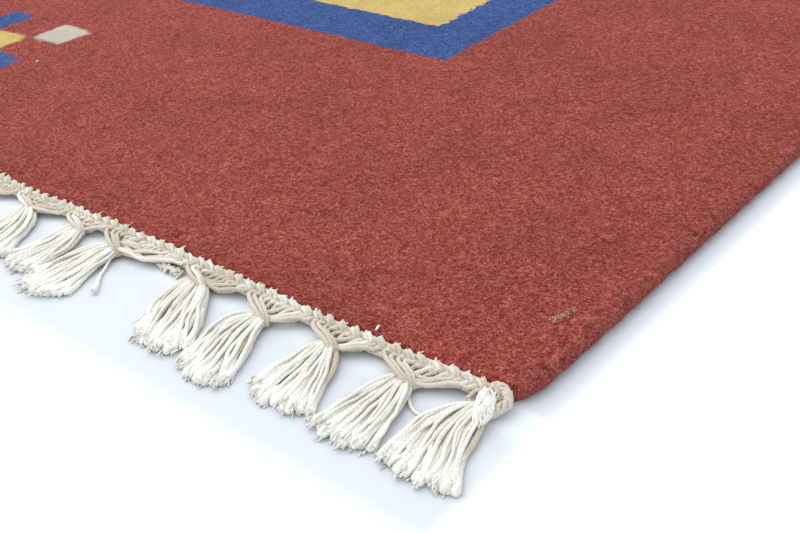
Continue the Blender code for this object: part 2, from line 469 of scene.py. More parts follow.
def wool_material(name, loose, haze=0.0):
    """Brushed wool in the woven design, with painted light and shade over the nap. Loose hairs carry a
    painted highlight that makes them paler than the ground, each to its own tone.
    """
    graph = Graph(name)
    place = graph.object_place()
    design = woven_design(graph, place)
    # Paler colour of the painted highlight on loose fibres and hairs.
    glint = graph.mix(1.0, design, GLINT_GAIN, "MULTIPLY")
    glint = graph.mix(1.0, glint, GLINT_LIFT, "ADD")
    if loose:
        # Loose hairs: painted highlight mixed in by each hair's tone.
        tone = graph.attribute("tone", "Fac")
        return graph.finish(graph.mix(tone, design, glint), None, 0.85, 0.15)
    fine = felted(graph, place, 600.0, 0.31, 1000.0, 3200.0)
    coarse = felted(graph, place, 400.0, 0.77, 650.0, 2000.0)
    grain = graph.noise(place, 1700.0, 3.0, 0.6)
    clump = graph.noise(place, 600.0, 2.0)
    cloud = graph.noise(place, 26.0, 2.0)
    fibres = curls(graph, place, *FIBRE_SETS[0])
    for fibre_set in FIBRE_SETS[1:]:
        fibres = graph.larger(fibres, curls(graph, place, *fibre_set))
    strays = curls(graph, place, 210.0, 0.41, 0.020)
    pits = graph.ramp(graph.noise(place, 900.0, 2.0, 0.55, 0.4), 0.36, 0.47)
    height = fine * 0.40 + coarse * 0.26 + grain * 0.30 + clump * 0.20 + fibres * 0.10 + pits * 0.12
    _, green, blue = graph.split(design)
    # How strong the painted light and shade are: weaker on the paler colours.
    contrast = graph.ramp(green, 0.06, 0.36, 1.0, 0.3, "LINEAR")
    contrast = contrast * graph.ramp(blue, 0.05, 0.18, 1.0, 0.68, "LINEAR")
    # Painted light and shade by nap height: raised nap lighter, low nap darker, with a painted white
    # glint added on the raised parts.
    level = graph.ramp(height, NAP_MIDDLE - NAP_SPREAD, NAP_MIDDLE + NAP_SPREAD, -2.6, 2.6, "LINEAR")
    level = level * contrast
    tint = graph.toned(design, graph.larger(level, -1.2) * 0.20 + 1.0)
    tint = graph.toned(tint, graph.larger(level, -0.4) * 0.022, "ADD")
    # Painted shade in the pits of the nap.
    pit_shade = graph.mix(1.0, design, PIT_SHADE_GAIN, "MULTIPLY")
    tint = graph.mix((1.0 - pits) * contrast * 0.78, tint, pit_shade)
    # Painted highlight on the loose curly fibres.
    tint = graph.mix(fibres * contrast * 0.72, tint, glint)
    tint = graph.mix(strays * contrast * 0.55, tint, glint)
    wash = graph.ramp(cloud, 0.30, 0.70, 0.92, 1.09, "LINEAR")
    wash = wash * graph.ramp(graph.noise(place, 115.0, 2.0), 0.30, 0.70, 0.925, 1.085, "LINEAR")
    tint = graph.toned(tint, wash)
    if haze:
        tint = graph.mix(haze, tint, EDGE_HAZE)
    normal = graph.bump(height, 0.0012, 0.85)
    return graph.finish(tint, normal, 0.85, 0.10, 0.03, WOOL_SHEEN)


def cotton_material(name):
    """Plied, undyed cotton yarn."""
    graph = Graph(name)
    place = graph.object_place()
    turn_x, turn_y, run = graph.split(graph.attribute("yarn", "Vector"))
    tone = graph.attribute("tone", "Fac")
    angle = graph.math("ARCTAN2", turn_y, turn_x)
    ply = graph.math("SINE", angle * 2.0 + run * (TAU / PLY_PITCH * 2.0))
    lint_place = graph.join(angle * 0.9 + run * 900.0, run * 260.0, tone * 40.0)
    lint = graph.noise(lint_place, 2.2, 2.0)
    fluff = graph.noise(place, 1300.0, 2.0)
    stain = graph.noise(place, 55.0, 2.0)
    height = (ply * 0.13 + lint * 0.45 + fluff * 0.25) * graph.ramp(tone, 0.0, 0.4, 0.25, 1.0)
    colour = graph.mix(graph.ramp(tone, 0.0, 0.5), COTTON_FLUFF, COTTON)
    colour = graph.mix(graph.ramp(tone, 0.5, 1.0), colour, COTTON_BEIGE)
    colour = graph.mix(graph.ramp(stain, 0.56, 0.74) * 0.35, colour, COTTON_BEIGE)
    # Painted shade in the grooves between the plies and on low lint, a little painted light on the high
    # parts.
    painted_ply_shade = graph.ramp(ply * 0.3 + lint, 0.1, 0.9, 0.90, 1.05, "LINEAR")
    colour = graph.toned(colour, painted_ply_shade)
    normal = graph.bump(height, 0.0005, 0.45)
    return graph.finish(colour, normal, 0.9, 0.06, 0.05, COTTON_SHEEN, COTTON_GLOW)


def floor_material():
    """Plain pale floor, with painted shade under and round the rug and a paler painted shade beside the
    plaits.
    """
    graph = Graph("pale_floor")
    place = graph.object_place()
    x, y, _ = graph.split(place)
    beside = graph.ramp(abs(x), HALF_WIDTH + 0.003, HALF_WIDTH + 0.012)
    beyond = graph.ramp(abs(y), HALF_LENGTH + 0.052, HALF_LENGTH + 0.070)
    away = graph.larger(beside, beyond) + graph.noise(place, 40.0, 2.0) * 0.04
    # Band beside the plaits where the painted shade is paler.
    paler_shade_band = graph.ramp(abs(y), HALF_LENGTH - 0.002, HALF_LENGTH + 0.002)
    paler_shade_band = paler_shade_band * graph.ramp(abs(y), HALF_LENGTH + 0.009, HALF_LENGTH + 0.018, 1.0, 0.0)
    # Painted shade round the rug.
    near = graph.mix(paler_shade_band, FLOOR_PAINTED_SHADE, FLOOR_PALER_SHADE)
    colour = graph.mix(away, near, FLOOR_FAR)
    normal = graph.bump(graph.noise(place, 400.0, 2.0), 0.0002, 0.05)
    return graph.finish(colour, normal, 0.8, 0.05)


# ---------------------------------------------------------------- meshes


def new_mesh(name, vertices, faces, material, attributes=()):
    """An object of a vertex array and a list of face arrays, each with one face size."""
    mesh = bpy.data.meshes.new(name)
    mesh.vertices.add(len(vertices))
    mesh.vertices.foreach_set("co", np.ascontiguousarray(vertices, np.float32).ravel())
    corners = np.concatenate([np.ravel(group) for group in faces]).astype(np.int32)
    sizes = np.concatenate([np.full(len(group), len(group[0])) for group in faces])
    starts = np.concatenate([[0], np.cumsum(sizes)[:-1]]).astype(np.int32)
    mesh.loops.add(len(corners))
    mesh.loops.foreach_set("vertex_index", corners)
    mesh.polygons.add(len(sizes))
    mesh.polygons.foreach_set("loop_start", starts)
    mesh.polygons.foreach_set("use_smooth", np.ones(len(sizes), bool))
    mesh.update(calc_edges=True)
    mesh.validate()
    for key, kind, field, values in attributes:
        layer = mesh.attributes.new(key, kind, "POINT")
        layer.data.foreach_set(field, np.ascontiguousarray(values, np.float32).ravel())
    mesh.materials.append(material)
    made = bpy.data.objects.new(name, mesh)
    bpy.context.scene.collection.objects.link(made)
    return made


def stacked(*values):
    """Values side by side in the last axis of one array."""
    return np.stack(np.broadcast_arrays(*values), axis=-1)


def unit(vectors):
    return vectors / np.maximum(np.linalg.norm(vectors, axis=-1, keepdims=True), 1e-12)


def smooth_line(points, count):
    """count points on the smooth line through each row of control points."""
    points = np.asarray(points, float)
    first = 2 * points[:, :1] - points[:, 1:2]
    last = 2 * points[:, -1:] - points[:, -2:-1]
    padded = np.concatenate([first, points, last], axis=1)
    t = np.linspace(0.0, points.shape[1] - 1.0, count)
    i = np.minimum(t.astype(int), points.shape[1] - 2)
    f = (t - i)[None, :, None]
    p0, p1, p2, p3 = (padded[:, i + k] for k in range(4))
    return 0.5 * (
        2 * p1 + (p2 - p0) * f + (2 * p0 - 5 * p1 + 4 * p2 - p3) * f**2
        + (3 * p1 - p0 - 3 * p2 + p3) * f**3
    )


def tube_faces(sections, sides):
    """Quads between the rings of a tube, and triangles from its end rings to a point past each end."""
    ring = np.arange(sides)
    after = (ring + 1) % sides
    low = (np.arange(sections - 1) * sides)[:, None]
    quads = stacked(low + ring, low + after, low + sides + after, low + sides + ring)
    top = (sections - 1) * sides
    point = sections * sides
    caps = [stacked(after, ring, point), stacked(top + ring, top + after, point + 1)]
    caps = np.concatenate(caps)
    return quads.reshape(-1, 4), caps


def headings(rng, count, spread, bias=0.0):
    """Random directions, more or less spread along each axis, round a bias."""
    return unit(rng.normal(size=(count, 3)) * spread + bias)


def strokes(middle, reach, bend=0.0, tip=0.0):
    """Three-point lines, reach long to each side of the middle, moved by bend there and by tip ahead."""
    return np.stack([middle - reach, middle + bend, middle + reach + tip], axis=1)


class Yarns:
    """Closed tubes gathered into one piece."""

    def __init__(self, seed):
        self.rng = np.random.default_rng(seed)
        self.vertices, self.quads, self.triangles = [], [], []
        self.yarn, self.tone = [], []
        self.count = 0

    def add(self, points, radii, tones, sides=6, rough=0.0, flat=1.0):
        """points is (tubes, sections, 3) in metres, radii (tubes, sections), tones (tubes, sections)."""
        points = np.asarray(points, float)
        tubes, sections, _ = points.shape
        radii = np.broadcast_to(radii, (tubes, sections))
        tones = np.broadcast_to(tones, (tubes, sections))
        tangents = unit(np.gradient(points, axis=1))
        normals = np.empty_like(points)
        reference = np.where(np.abs(tangents[:, 0, 2:]) > 0.8, [[1.0, 0.0, 0.0]], [[0.0, 0.0, 1.0]])
        normals[:, 0] = unit(np.cross(tangents[:, 0], reference))
        for k in range(1, sections):
            along = np.sum(normals[:, k - 1] * tangents[:, k], axis=-1, keepdims=True)
            normals[:, k] = unit(normals[:, k - 1] - along * tangents[:, k])
        binormals = np.cross(tangents, normals)
        angles = TAU * np.arange(sides) / sides
        cosine, sine = np.cos(angles)[:, None], np.sin(angles)[:, None]
        spokes = normals[:, :, None] * cosine + binormals[:, :, None] * sine
        lumps = self.rng.uniform(-1.0, 1.0, (tubes, sections, sides))
        uneven = 1.0 + np.ravel(rough)[None, :, None] * lumps
        rings = points[:, :, None] + spokes * (radii[:, :, None] * uneven)[..., None]
        level = points[:, :, None, 2]
        rings[..., 2] = np.maximum(level + (rings[..., 2] - level) * flat, FLOOR_CLEAR)
        start = points[:, 0] - tangents[:, 0] * radii[:, :1] * 0.6
        end = points[:, -1] + tangents[:, -1] * radii[:, -1:] * 0.6
        pointed = sides > 3
        vertices = rings.reshape(tubes, -1, 3)
        if pointed:
            vertices = np.concatenate([vertices, start[:, None], end[:, None]], axis=1)
            vertices[..., 2] = np.maximum(vertices[..., 2], FLOOR_CLEAR)
        steps = np.linalg.norm(np.diff(points, axis=1), axis=-1)
        run = np.concatenate([np.zeros((tubes, 1)), np.cumsum(steps, axis=1)], axis=1)
        run = run + self.rng.uniform(0.0, PLY_PITCH, (tubes, 1))
        yarn = np.zeros((tubes, sections, sides, 3))
        yarn[..., 0], yarn[..., 1] = np.cos(angles), np.sin(angles)
        yarn[..., 2] = run[:, :, None]
        ends = np.zeros((tubes, 2, 3))
        ends[:, 0, 2], ends[:, 1, 2] = run[:, 0], run[:, -1]
        yarn = yarn.reshape(tubes, -1, 3)
        tone = np.repeat(tones[:, :, None], sides, axis=2).reshape(tubes, -1)
        if pointed:
            yarn = np.concatenate([yarn, ends], axis=1)
            tone = np.concatenate([tone, tones[:, :1], tones[:, -1:]], axis=1)
        self.yarn.append(yarn.reshape(-1, 3))
        self.tone.append(tone.ravel())
        quads, caps = tube_faces(sections, sides)
        if not pointed:
            top = (sections - 1) * sides
            caps = np.array([[2, 1, 0], [top, top + 1, top + 2]])
        shift = self.count + (np.arange(tubes) * vertices.shape[1])[:, None, None]
        self.vertices.append(vertices.reshape(-1, 3))
        self.quads.append((quads[None] + shift).reshape(-1, 4))
        self.triangles.append((caps[None] + shift).reshape(-1, 3))
        self.count += tubes * vertices.shape[1]

    def piece(self, name, material, turned=False):
        vertices = np.concatenate(self.vertices)
        if turned:
            vertices = vertices * [-1.0, -1.0, 1.0]
        return new_mesh(
            name,
            vertices,
            [np.concatenate(self.quads), np.concatenate(self.triangles)],
            material,
            [
                ("yarn", "FLOAT_VECTOR", "vector", np.concatenate(self.yarn)),
                ("tone", "FLOAT", "value", np.concatenate(self.tone)),
            ],
        )


# ---------------------------------------------------------------- woven field


def edge_offset(y, side):
    """How far the selvedge at this y stands inside the nominal width. side is 1 at +X and -1 at -X."""
    stray = math.sin(9.0 * y + 1.3 * side) + 0.6 * math.sin(23.0 * y + 0.7 + side)
    offset = EDGE_WANDER * (0.8 + 0.5 * stray)
    to_end = HALF_LENGTH - abs(y)
    if to_end < CORNER_LENGTH:
        reach = 1.0 - to_end / CORNER_LENGTH
        offset += CORNER_INSET * (1.0 - math.sqrt(1.0 - reach * reach))
    return offset


def face_height(x, y):
    """Height of the weave's face, which isn't quite level."""
    swell = np.sin(7.0 * x + 2.0) * np.sin(5.2 * y + 0.6) + 0.5 * np.sin(13.0 * x - 11.0 * y)
    return WEAVE_THICKNESS + TOP_WANDER * swell


def woven_field(material):
    """The closed slab of the weave, with a rib over each warp."""
    rng = np.random.default_rng(5)
    columns = 2 * WARP_COUNT + 1
    ys = np.linspace(-HALF_LENGTH, HALF_LENGTH, WEAVE_ROWS)
    ys = np.concatenate([[ys[0]], [ys[0] + END_ROUND_RUN], ys[1:-1], [ys[-1] - END_ROUND_RUN], [ys[-1]]])
    rows = len(ys)
    left = np.array([-(HALF_WIDTH - edge_offset(y, -1) - TUCK) for y in ys])
    right = np.array([HALF_WIDTH - edge_offset(y, 1) - TUCK for y in ys])
    share = np.linspace(0.0, 1.0, columns)[None]
    xs = left[:, None] * (1.0 - share) + right[:, None] * share
    grid_y = np.repeat(ys[:, None], columns, axis=1)
    grid_y[:2] -= end_wander((HALF_WIDTH - xs[:2]) / MM) * MM
    grid_y[-2:] += end_wander((HALF_WIDTH + xs[-2:]) / MM) * MM
    rib = np.where(np.arange(columns) % 2 == 1, 0.5, -0.5)[None] * RIB_HEIGHT
    wave = 0.5 + 0.5 * np.sin(grid_y * 190.0 + np.arange(columns)[None] * 1.9)
    lumps = rng.uniform(-1.0, 1.0, (rows, columns)) * LUMP_HEIGHT
    to_roll = np.minimum(right[:, None] - xs, xs - left[:, None]) / SHOULDER_RUN
    zs = face_height(xs, grid_y) + rib * (0.5 + wave) + lumps * 0.6 - RIB_HEIGHT
    zs += SHOULDER_RISE * np.exp(-to_roll * to_roll)
    zs[0] -= END_ROUND
    zs[-1] -= END_ROUND
    top = stacked(xs, grid_y, zs).reshape(-1, 3)
    index = np.arange(rows * columns).reshape(rows, columns)
    rim = np.concatenate([index[0], index[1:, -1], index[-1, -2::-1], index[-2:0:-1, 0]])
    low = top[rim] * [1.0, 1.0, 0.0]
    low_index = rows * columns + np.arange(len(rim))
    quads = stacked(index[:-1, :-1], index[:-1, 1:], index[1:, 1:], index[1:, :-1]).reshape(-1, 4)
    following = np.roll(np.arange(len(rim)), -1)
    walls = stacked(low_index, low_index[following], rim[following], rim)
    vertices = np.concatenate([top, low])
    return new_mesh("kilim_weave", vertices, [quads, walls, low_index[None, ::-1]], material)


def selvedge(name, side, material):
    """The weft turned round the doubled edge warps, one long lumpy roll."""
    rng = np.random.default_rng(17 + side)
    ys = np.linspace(-HALF_LENGTH + 0.0002, HALF_LENGTH - 0.0002, ROLL_SECTIONS)
    centre = np.array([side * (HALF_WIDTH - edge_offset(y, side) - ROLL_HALF_WIDTH) for y in ys])
    to_end = np.minimum(HALF_LENGTH - np.abs(ys), ROLL_TAPER) / ROLL_TAPER
    taper = np.sqrt(1.0 - (1.0 - to_end) ** 2) * 0.75 + 0.25
    angle = TAU * np.arange(ROLL_SIDES) / ROLL_SIDES
    drift = np.cumsum(rng.normal(0.0, 0.05, ROLL_SECTIONS))
    wrap = np.sin(TAU * ys[:, None] / WRAP_PITCH + drift[:, None] + angle[None] * side)
    groove = np.maximum(-wrap - 0.70, 0.0) / 0.30
    weft = np.sin(TAU * ys[:, None] / (WRAP_PITCH / 3.0) + 2.0 * drift[:, None] + angle[None] * side)
    rough = rng.normal(0.0, 1.0, (ROLL_SECTIONS, ROLL_SIDES))
    rough = (rough + np.roll(rough, 1, 0) + np.roll(rough, 1, 1)) / 3.0
    swell = 1.0 + WRAP_HEIGHT * wrap + 0.35 * WRAP_HEIGHT * weft + ROLL_ROUGH * rough
    swell = swell - WRAP_GROOVE * groove**1.5
    reach = swell * taper[:, None]
    xs = centre[:, None] + ROLL_HALF_WIDTH * np.cos(angle)[None] * reach
    zs = ROLL_HALF_HEIGHT + ROLL_HALF_HEIGHT * np.sin(angle)[None] * reach
    zs = np.maximum(zs, 0.00005)
    rings = stacked(xs, ys[:, None], zs).reshape(-1, 3)
    ends = np.array([
        [centre[0], -HALF_LENGTH, ROLL_HALF_HEIGHT],
        [centre[-1], HALF_LENGTH, ROLL_HALF_HEIGHT],
    ])
    quads, caps = tube_faces(ROLL_SECTIONS, ROLL_SIDES)
    faces = [quads[:, [0, 3, 2, 1]], caps[:, [1, 0, 2]]]
    return new_mesh(name, np.concatenate([rings, ends]), faces, material)


# ---------------------------------------------------------------- fringe


def tassel_rows(seed, known):
    """The tassels along one end from the +X corner, in metres: the known ones, then more like them."""
    rows = [dict(zip(TASSEL_COLUMNS, (value * MM for value in row))) for row in known]
    rng = random.Random(seed)
    start = rows[-1]["knot_in"]
    span = WEAVE_WIDTH - LAST_KNOT_INSET - start
    count = round(span / KNOT_PITCH)
    for i in range(1, count + 1):
        knot_in = start + span * i / count
        if i < count:
            knot_in += rng.uniform(*KNOT_STRAY)
        rows.append({
            "knot_in": knot_in,
            "knot_out": KNOT_OUT + rng.uniform(*KNOT_OUT_STRAY),
            "tip_in": knot_in - TASSEL_LEAN + rng.uniform(*TIP_STRAY),
            "tip_half": TASSEL_HALF_WIDTH + rng.uniform(*TIP_HALF_STRAY),
            "tip_out": TASSEL_OUT + rng.uniform(*TIP_OUT_STRAY),
        })
    for k, row in enumerate(rows):
        row["fan"] = CORNER_FANS[k] if k < len(known) else rng.uniform(0.2, 0.5)
        row["bow"] = CORNER_BOWS[k] if k < len(known) else rng.uniform(-3.0, 3.0)
        row["drop"] = CORNER_DROPS[k] if k < len(known) else rng.uniform(3.0, 6.5)
    for right, left in zip(rows[len(known) - 1:], rows[len(known):]):
        reach = left["tip_in"] - right["tip_in"] - TASSEL_GAP
        excess = right["tip_half"] + left["tip_half"] - reach
        if excess > 0.0:
            right["tip_half"] -= excess / 2
            left["tip_half"] -= excess / 2
    return rows


def end_wander(along):
    """How far the last pick strays outward, in millimetres, at each distance in from the +X edge."""
    return np.interp(along, *np.array(END_WANDER).T)


def placed(points, wander=False):
    """Millimetres (in from the +X edge, out past the last pick, height) to metres in the row frame."""
    points = np.asarray(points, float)
    along, out, height = points[..., 0], points[..., 1], points[..., 2]
    if wander:
        out = out + end_wander(along) * np.clip(1.0 - np.abs(out - 1.0) / END_WANDER_REACH, 0.0, 1.0)
    return stacked(HALF_WIDTH - along * MM, -HALF_LENGTH - out * MM, height * MM)


def plait(rows, seed, front):
    """Warp ends turned in pairs, each under the next along the last pick, then led to the knots."""
    yarns = Yarns(seed)
    rng = np.random.default_rng(seed)
    knots = [(row["knot_in"] / MM, row["knot_out"] / MM) for row in rows]
    width = WEAVE_WIDTH / MM
    count = round((width - FIRST_WARP_IN - LAST_WARP_IN) / BEAD_PITCH)
    beads = np.linspace(FIRST_WARP_IN + 2.0, width - LAST_WARP_IN, count + 1)
    beads = beads + rng.uniform(-0.55, 0.55, len(beads))
    groups = {}
    laid = []
    for bead in beads:
        lift = rng.normal(0.0, 0.12)
        for member in (0, 1):
            foot = bead - 2.2 + BEAD_PITCH / 2 * member
            path = turned_end(rng, bead, foot, (-1.0, 1.0)[member], lift)
            start = path[-1][0]
            past = [start - along for along, _ in knots]
            crossed = [k for k, far in enumerate(past) if CROSS_FROM < far < CROSS_TO and k > 0]
            ahead = [k for k, (along, _) in enumerate(knots) if along > start - 4.2]
            key = (crossed[0], True) if crossed else (ahead[0] if ahead else len(knots) - 1, False)
            groups.setdefault(key, []).append(path)
    for (k, crossing), paths in groups.items():
        knot_a, knot_o = knots[k]
        paths.sort(key=lambda path: path[-1][0])
        if crossing:
            for n, path in enumerate(paths):
                spread = (n - (len(paths) - 1) / 2) * 1.15
                cross_knot(rng, path, knot_a, knot_o, spread, (n % 2) * 0.3)
        else:
            gap = knot_a - (knots[k - 1][0] if k else FIRST_WARP_IN - 6.0)
            known = front and k < len(SCALLOP_BELLY)
            belly = SCALLOP_BELLY[k] if known else rng.uniform(0.0, 1.6)
            for rank, path in enumerate(paths):
                run_to_knot(rng, path, knot_a, knot_o, gap, belly, rank)
        for path in paths:
            line = smooth_line([path], PLAIT_SECTIONS)
            share = np.linspace(0.0, 1.0, PLAIT_SECTIONS)
            girths = (0.75, PLAIT_YARN, PLAIT_YARN * 0.94, BUNDLE_YARN)
            base = np.interp(share, (0.0, 0.15, 0.5, 1.0), girths)
            radii = base * (1.0 + rng.normal(0.0, 0.06, PLAIT_SECTIONS)) * MM
            tone = np.clip(rng.normal(0.80, 0.16), 0.35, 1.0)
            yarns.add(placed(line, True), radii[None], tone, 6, 0.10)
            laid.append(line[0])
    fuzz(yarns, rng, np.array(laid))
    filler(yarns, rng, width)
    wisps(yarns, rng, beads)
    nips(yarns, rng, beads)
    if front:
        corner_details(yarns, rng)
    return yarns


def turned_end(rng, bead, foot, side, lift):
    """One yarn of a pair: up out of the weave, over as a bead, under the next, out as a stitch."""
    r = rng.uniform(-0.38, 0.38, 8)
    across, out = side * 0.36, side * 0.42
    return [
        (bead + 2.4, -0.6, 2.4),
        (bead + 1.8 + across, 0.4 + out + r[1] * 0.5, 4.0 + lift),
        (bead + 0.9 + across + r[0], 1.1 + out + r[1], 4.85 + lift),
        (bead - 0.6 + across + r[2], 2.0 + out + r[3], 4.70 + lift),
        (bead - 1.8 + across, 2.9 + out, 3.8),
        (foot, 3.6, 3.3),
        (foot + 0.5 + r[4], 4.2 + r[5], 4.3 + r[6] * 0.5),
        (foot + 1.4 + r[6], 5.0 + r[7], 4.3),
        (foot + 2.3, 5.5, 3.7),
    ]


def run_to_knot(rng, path, knot_a, knot_o, gap, belly, rank):
    """Lead a yarn on along the bundle that feeds the next knot."""
    start = path[-1][0]
    span = max(knot_a - start, 1.5)
    upper = rank % 2 == 0
    steps = (0.2, 0.4, 0.58, 0.74, 0.88, 1.0) if span > 9.0 else (0.5, 1.0)
    turn = rng.uniform(0.0, TAU)
    for u in steps:
        along = start + span * u
        near = min(max(1.0 - (knot_a - along) / (gap - 8.0), 0.0), 1.0)
        ease = min(max((near - 0.15) / 0.75, 0.0), 1.0)
        ease = ease * ease * (3.0 - 2.0 * ease)
        edge = BUNDLE_EDGE + (knot_o + 0.4 - BUNDLE_EDGE) * ease + belly * math.sin(math.pi * near)
        squeeze = 1.0 - 0.45 * near**5
        level = edge - (rank // 2 * 1.5 + (0.0 if upper else 0.7)) * squeeze
        join = min(u / 0.4, 1.0)
        out = max(5.6 * (1.0 - join) + level * join, 4.6)
        height = (3.6 if upper else 2.5) + rng.normal(0.0, 0.2)
        twist = TAU * along / BUNDLE_TWIST + turn
        path.append((along - 1.2 * u, out + 0.55 * math.sin(twist), height + 0.55 * math.cos(twist)))
    path.append((knot_a - 1.6, knot_o + 1.6, 2.4))


def cross_knot(rng, path, knot_a, knot_o, spread, lift):
    """Lead a yarn back over the bundle and tuck it under beyond the knot."""
    start, first_out, _ = path[-1]
    path.pop()
    goal_a, goal_o = knot_a - 4.6 + spread * 0.45, knot_o + 2.2 + spread * 0.7
    for u, height in ((0.15, 4.4), (0.4, 4.9), (0.65, 5.2), (0.85, 4.9), (1.0, 3.6)):
        along = start + (goal_a - start) * u
        out = first_out + (goal_o - first_out) * u + 0.9 * math.sin(math.pi * u) * (spread > 0)
        path.append((along, out + rng.normal(0.0, 0.10), height + lift))
    path.append((goal_a - 0.4, goal_o + 0.8, 1.6))


def fuzz(yarns, rng, laid):
    """Loose cotton fibres standing off the plait and the bundles."""
    count = 3 * len(laid)
    chosen = laid[rng.integers(0, len(laid), count), rng.integers(1, laid.shape[1] - 1, count)]
    away = headings(rng, count, (1.0, 1.0, 0.5), (0.0, 0.0, 0.6))
    roots = chosen + away * 0.6
    heading = headings(rng, count, (1.0, 1.0, 0.35))
    length = rng.uniform(0.7, 2.2, (count, 1))
    lines = strokes(roots, heading * length * 0.5, away * 0.25)
    lines[..., 2] = np.clip(lines[..., 2], 0.3, 6.2)
    widths = np.array([[0.10, 0.17, 0.07]]) * rng.uniform(0.7, 1.3, (count, 1)) * MM
    yarns.add(placed(lines, True), widths, 0.35, 3)


def filler(yarns, rng, width):
    """Straight lay of warp ends under the turned ones, which closes the plait."""
    along = np.linspace(FIRST_WARP_IN - 2.0, width - LAST_WARP_IN + 1.0, FILLER_STEPS)
    for out, height, size in FILLER_YARNS:
        out = out + rng.normal(0.0, 0.12, FILLER_STEPS)
        line = stacked(along, out, height + rng.normal(0.0, 0.12, FILLER_STEPS))
        radii = size * (1.0 + rng.normal(0.0, 0.06, FILLER_STEPS)) * MM
        yarns.add(placed(line[None], True), radii[None], 0.8, 6)


def wisps(yarns, rng, beads):
    """Short cotton tips that poke from the turned ends into the wool."""
    chosen = np.repeat(beads, 2)
    chosen = chosen[rng.uniform(size=len(chosen)) < WISP_SHARE] + rng.uniform(-1.6, 1.6)
    lines, sizes = [], []
    for bead in chosen:
        reach = rng.uniform(0.2, 1.0) + rng.exponential(0.5)
        lean = rng.uniform(-0.9, 1.3)
        root = bead + rng.uniform(-1.2, 1.2)
        lines.append([
            (root + 0.8, 1.5, 4.5), (root + 1.1 + lean * 0.3, 0.8, 4.9),
            (root + 1.2 + lean * 0.7, 0.5 - reach * 0.6, 5.05), (root + 1.3 + lean, 0.3 - reach, 5.0),
        ])
        sizes.append(rng.uniform(0.45, 1.0))
    widths = np.array([0.8, 0.75, 0.55, 0.35, 0.08]) * MM
    yarns.add(placed(smooth_line(lines, 5), True), widths[None] * np.array(sizes)[:, None], 0.6, 5, 0.08)


def nips(yarns, rng, beads):
    """Specks of warp that show between the last wefts."""
    chosen = beads[rng.uniform(size=len(beads)) < NIP_SHARE] + 0.5
    count = len(chosen)
    spot = stacked(chosen, rng.uniform(-3.6, -2.2, count), rng.uniform(4.70, 4.84, count))
    half = stacked(rng.normal(0.0, 0.15, count), rng.uniform(0.30, 0.60, count), 0.0)
    dip = np.array([0.0, 0.0, 0.25])
    lines = np.stack([spot - half - dip, spot, spot + half - dip], axis=1)
    yarns.add(placed(lines, True), np.array([[0.12, 0.24, 0.12]]) * MM, 1.0, 5)


def corner_details(yarns, rng):
    """What only the front right corner has: raw cotton, a rope, a loop and stray yarns."""
    raw_cotton(yarns, rng)
    corner_rope(yarns, rng)
    yarns.add(placed(smooth_line([LOOSE_LOOP], 26)), 0.58 * MM, 0.2, 6, 0.14)
    yarns.add(placed(smooth_line([THIN_STRAY], 22)), 0.24 * MM, 0.55, 5)
    share = np.linspace(0.0, 1.0, 20)
    widths = np.interp(share, (0.0, 0.6, 0.85, 0.95, 1.0), (0.55, 0.60, 1.15, 1.20, 0.70))
    yarns.add(placed(smooth_line([STRAND_APART], 20)), widths[None] * MM, 0.1, 6, 0.10)
    way = np.array([[-0.66, 0.75, 0.0]])
    frayed(yarns, rng, np.array([[166.2, 33.4, 0.8]]), way, np.array([1.0]), 14)
    box = ((148.0, 158.5), (7.2, 9.4), (0.8, 2.4))
    spots = stacked(*[rng.uniform(low, high, GAP_ENDS) for low, high in box])
    heading = headings(rng, GAP_ENDS, (1.0, 1.0, 0.5), (-0.5, 1.0, 0.0))
    lines = np.stack([spots - heading * 1.2, spots, spots + heading * 1.3], axis=1)
    tones = rng.uniform(0.3, 0.9, (GAP_ENDS, 1))
    yarns.add(placed(lines), np.array([[0.40, 0.62, 0.50]]) * MM, tones, 6, 0.12)
    specks(yarns, rng)


def raw_cotton(yarns, rng):
    """The ball of raw cotton at the corner: thick tufts inside, thin curls over them."""
    centre = np.array(BALL_CENTRE)
    axis = unit(np.array(BALL_AXIS))
    across = unit(np.cross(axis, [0.0, 0.0, 1.0]))
    up = np.cross(across, axis)

    def in_ball(count, size, inner):
        spots = unit(rng.normal(size=(count, 3))) * rng.uniform(inner, 1.0, (count, 1)) ** 0.5
        spots = spots * size
        return centre + spots[:, :1] * axis + spots[:, 1:2] * across + spots[:, 2:] * up

    tufts = in_ball(BALL_TUFTS, (5.6, 2.2, 1.6), 0.0)
    heading = headings(rng, BALL_TUFTS, (0.34, 0.34, 0.15), axis)
    bend = rng.normal(0.0, 0.45, (BALL_TUFTS, 3))
    length = rng.uniform(2.0, 3.2, (BALL_TUFTS, 1))
    lines = strokes(tufts, heading * length, bend, -0.4 * bend)
    profile = np.array([[0.50, 0.95, 1.15, 1.20, 1.10, 0.90, 0.45]])
    sizes = rng.uniform(0.7, 1.2, (BALL_TUFTS, 1)) * profile
    yarns.add(placed(smooth_line(lines, 7)), sizes * MM, 0.0, 8, 0.12)
    roots = in_ball(BALL_CURLS, (6.4, 2.6, 2.0), 0.50)
    heading = headings(rng, BALL_CURLS, (0.30, 0.30, 0.12), axis)
    length = rng.uniform(2.6, 5.2, (BALL_CURLS, 1))
    curl = rng.normal(0.0, 0.40, (BALL_CURLS, 3))
    lines = strokes(roots, heading * length * 0.5, curl, -0.5 * curl)
    lines[..., 2] = np.maximum(lines[..., 2], 0.3)
    sizes = rng.uniform(0.34, 0.62, (BALL_CURLS, 1)) * np.array([[0.6, 1.0, 1.0, 0.6]])
    yarns.add(placed(smooth_line(lines, 4)), sizes * MM, 0.0, 5)


